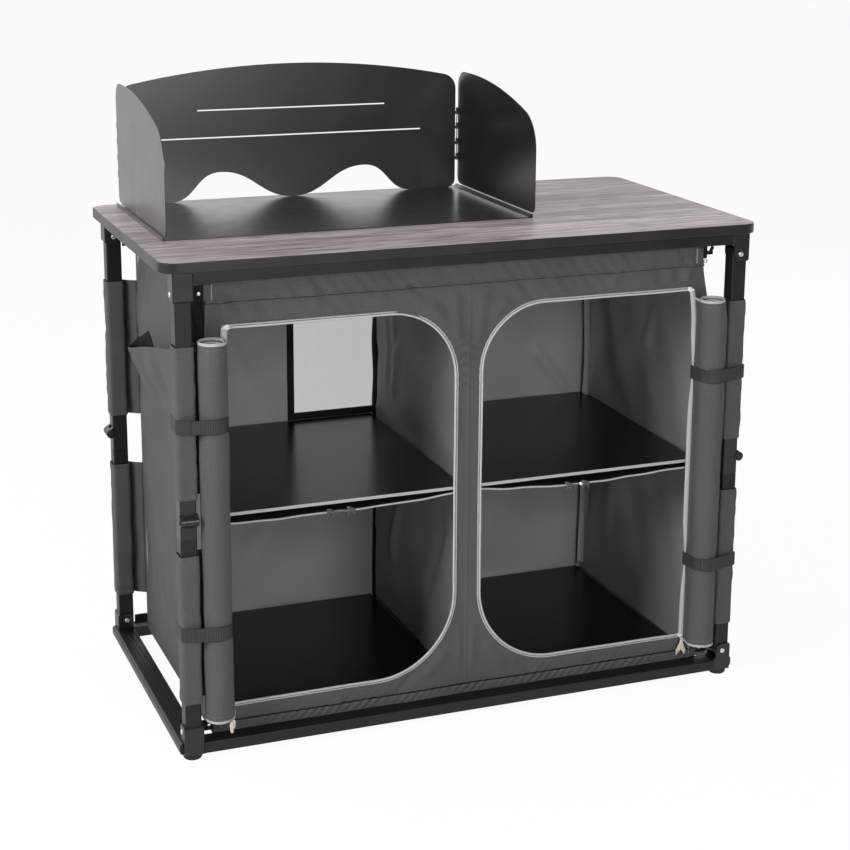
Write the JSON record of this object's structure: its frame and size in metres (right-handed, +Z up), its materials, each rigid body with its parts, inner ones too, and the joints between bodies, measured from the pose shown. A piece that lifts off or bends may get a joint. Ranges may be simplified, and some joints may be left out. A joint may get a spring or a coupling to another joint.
{
  "type": "camping kitchen unit",
  "caption": "Folding camping kitchen cupboard: laminate worktop on folding legs, cloth cupboard with roll-up doors and shelf boards, and a folding sheet-metal windscreen.",
  "frame": {"origin": "on the floor, in the middle of the footprint that the front rolls and rear knees give", "axes": "+X along the worktop to the right seen from the doors, +Y to the rear, +Z up"},
  "size_m": [0.97, 0.529, 0.9969],
  "materials": {
    "powder_black": "fine satin powder coat",
    "moulded_black": "fine moulded texture",
    "foot_rubber": "matt",
    "rivet_steel": "bright zinc",
    "laminate_oak": "washed grey oak laminate, satin",
    "edge_band_black": "satin",
    "board_black": "satin melamine",
    "cupboard_cloth": "coated canvas, grey",
    "webbing_black": "ribbed webbing",
    "zip_grey": "light grey woven tape",
    "screen_steel": "satin black powder coat"
  },
  "bodies": {
    "bottom_frame": {"bottom_front_rail": "powder_black", "bottom_rear_rail": "powder_black", "bottom_left_rail": "powder_black", "bottom_right_rail": "powder_black", "bottom_corner_brackets": "moulded_black", "bottom_feet": "foot_rubber", "bottom_pivot_rivets": "rivet_steel", "bottom_board_left": "board_black", "bottom_board_right": "board_black", "cabinet_floor": "cupboard_cloth", "cabinet_front": "cupboard_cloth", "cabinet_left_side": "cupboard_cloth", "cabinet_right_side": "cupboard_cloth", "cabinet_back": "cupboard_cloth", "cabinet_divider": "cupboard_cloth", "shelf_slings": "cupboard_cloth", "side_pocket": "cupboard_cloth", "left_door_roll": "cupboard_cloth", "right_door_roll": "cupboard_cloth", "door_straps": "webbing_black", "door_zips": "zip_grey"},
    "fl_lower_leg": {"fl_lower_tube": "powder_black", "fl_lower_knuckle": "moulded_black", "fl_lower_sleeve": "cupboard_cloth"},
    "fl_upper_leg": {"fl_upper_tube": "powder_black", "fl_upper_knuckle": "moulded_black", "fl_upper_sleeve": "cupboard_cloth"},
    "bl_lower_leg": {"bl_lower_tube": "powder_black", "bl_lower_knuckle": "moulded_black", "bl_lower_sleeve": "cupboard_cloth"},
    "bl_upper_leg": {"bl_upper_tube": "powder_black", "bl_upper_knuckle": "moulded_black", "bl_upper_sleeve": "cupboard_cloth"},
    "br_lower_leg": {"br_lower_tube": "powder_black", "br_lower_knuckle": "moulded_black", "br_lower_sleeve": "cupboard_cloth"},
    "br_upper_leg": {"br_upper_tube": "powder_black", "br_upper_knuckle": "moulded_black", "br_upper_sleeve": "cupboard_cloth"},
    "fr_lower_leg": {"fr_lower_tube": "powder_black", "fr_lower_knuckle": "moulded_black", "fr_lower_sleeve": "cupboard_cloth"},
    "fr_upper_leg": {"fr_upper_tube": "powder_black", "fr_upper_knuckle": "moulded_black", "fr_upper_sleeve": "cupboard_cloth"},
    "top_frame": {"tabletop_board": "laminate_oak", "tabletop_edge_band": "edge_band_black", "top_front_rail": "powder_black", "top_rear_rail": "powder_black", "top_left_rail": "powder_black", "top_right_rail": "powder_black", "top_corner_brackets": "moulded_black", "top_pivot_rivets": "rivet_steel", "windscreen_base_plate": "screen_steel"},
    "left_shelf": {"upper_shelf_left": "board_black"},
    "right_shelf": {"upper_shelf_right": "board_black"},
    "windscreen_panel": {"windscreen_back_panel": "screen_steel", "windscreen_hinge_pins": "screen_steel"},
    "windscreen_left": {"windscreen_left_wing": "screen_steel"},
    "windscreen_right": {"windscreen_right_wing": "screen_steel"}
  },
  "joints": [
    {"name": "fold", "type": "hinge", "parent": "bottom_frame", "child": "fl_lower_leg", "pos_m": [-0.4535, -0.2315, 0.044], "axis": [-1, 0, 0], "range_deg": [0, 88], "deforming": ["cabinet_front", "cabinet_left_side", "cabinet_right_side", "cabinet_back", "cabinet_divider", "shelf_slings", "side_pocket", "left_door_roll", "right_door_roll", "door_straps", "door_zips"]},
    {"name": "fl_knee", "type": "hinge", "parent": "fl_lower_leg", "child": "fl_upper_leg", "pos_m": [-0.4535, -0.247, 0.383], "axis": [1, 0, 0], "range_deg": [0, 176]},
    {"name": "bl_lower_fold", "type": "hinge", "parent": "bottom_frame", "child": "bl_lower_leg", "pos_m": [-0.4535, 0.2415, 0.044], "axis": [0, 1, 0], "range_deg": [0, 88]},
    {"name": "bl_knee", "type": "hinge", "parent": "bl_lower_leg", "child": "bl_upper_leg", "pos_m": [-0.469, 0.2415, 0.383], "axis": [0, -1, 0], "range_deg": [0, 176]},
    {"name": "br_lower_fold", "type": "hinge", "parent": "bottom_frame", "child": "br_lower_leg", "pos_m": [0.4535, 0.2415, 0.044], "axis": [1, 0, 0], "range_deg": [0, 88]},
    {"name": "br_knee", "type": "hinge", "parent": "br_lower_leg", "child": "br_upper_leg", "pos_m": [0.4535, 0.257, 0.383], "axis": [-1, 0, 0], "range_deg": [0, 176]},
    {"name": "fr_lower_fold", "type": "hinge", "parent": "bottom_frame", "child": "fr_lower_leg", "pos_m": [0.4535, -0.2315, 0.044], "axis": [0, -1, 0], "range_deg": [0, 88]},
    {"name": "fr_knee", "type": "hinge", "parent": "fr_lower_leg", "child": "fr_upper_leg", "pos_m": [0.469, -0.2315, 0.383], "axis": [0, 1, 0], "range_deg": [0, 176]},
    {"name": "worktop_level", "type": "hinge", "parent": "fl_upper_leg", "child": "top_frame", "pos_m": [-0.4535, -0.2315, 0.722], "axis": [-1, 0, 0], "range_deg": [0, 88]},
    {"name": "left_shelf_drop", "type": "slide", "parent": "bottom_frame", "child": "left_shelf", "axis": [0, 0, -1], "range_m": [0, 0.3131]},
    {"name": "right_shelf_drop", "type": "slide", "parent": "bottom_frame", "child": "right_shelf", "axis": [0, 0, -1], "range_m": [0, 0.3131]},
    {"name": "windscreen_lift", "type": "slide", "parent": "top_frame", "child": "windscreen_panel", "axis": [0, 0, 1], "range_m": [0, 0.25]},
    {"name": "left_wing_hinge", "type": "hinge", "parent": "windscreen_panel", "child": "windscreen_left", "pos_m": [-0.439, 0.235, 0.85], "axis": [0, 0, 1], "range_deg": [0, 89]},
    {"name": "right_wing_hinge", "type": "hinge", "parent": "windscreen_panel", "child": "windscreen_right", "pos_m": [0.159, 0.235, 0.85], "axis": [0, 0, -1], "range_deg": [0, 88]}
  ],
  "couplings": [
    {"joint": "fl_knee", "follows": "fold", "ratio": 2},
    {"joint": "bl_lower_fold", "follows": "fold", "ratio": 1},
    {"joint": "bl_knee", "follows": "fold", "ratio": 2},
    {"joint": "br_lower_fold", "follows": "fold", "ratio": 1},
    {"joint": "br_knee", "follows": "fold", "ratio": 2},
    {"joint": "fr_lower_fold", "follows": "fold", "ratio": 1},
    {"joint": "fr_knee", "follows": "fold", "ratio": 2},
    {"joint": "worktop_level", "follows": "fold", "ratio": 1},
    {"joint": "left_shelf_drop", "follows": "fold", "m_per_rad": 0.20379},
    {"joint": "right_shelf_drop", "follows": "fold", "m_per_rad": 0.20379}
  ]
}
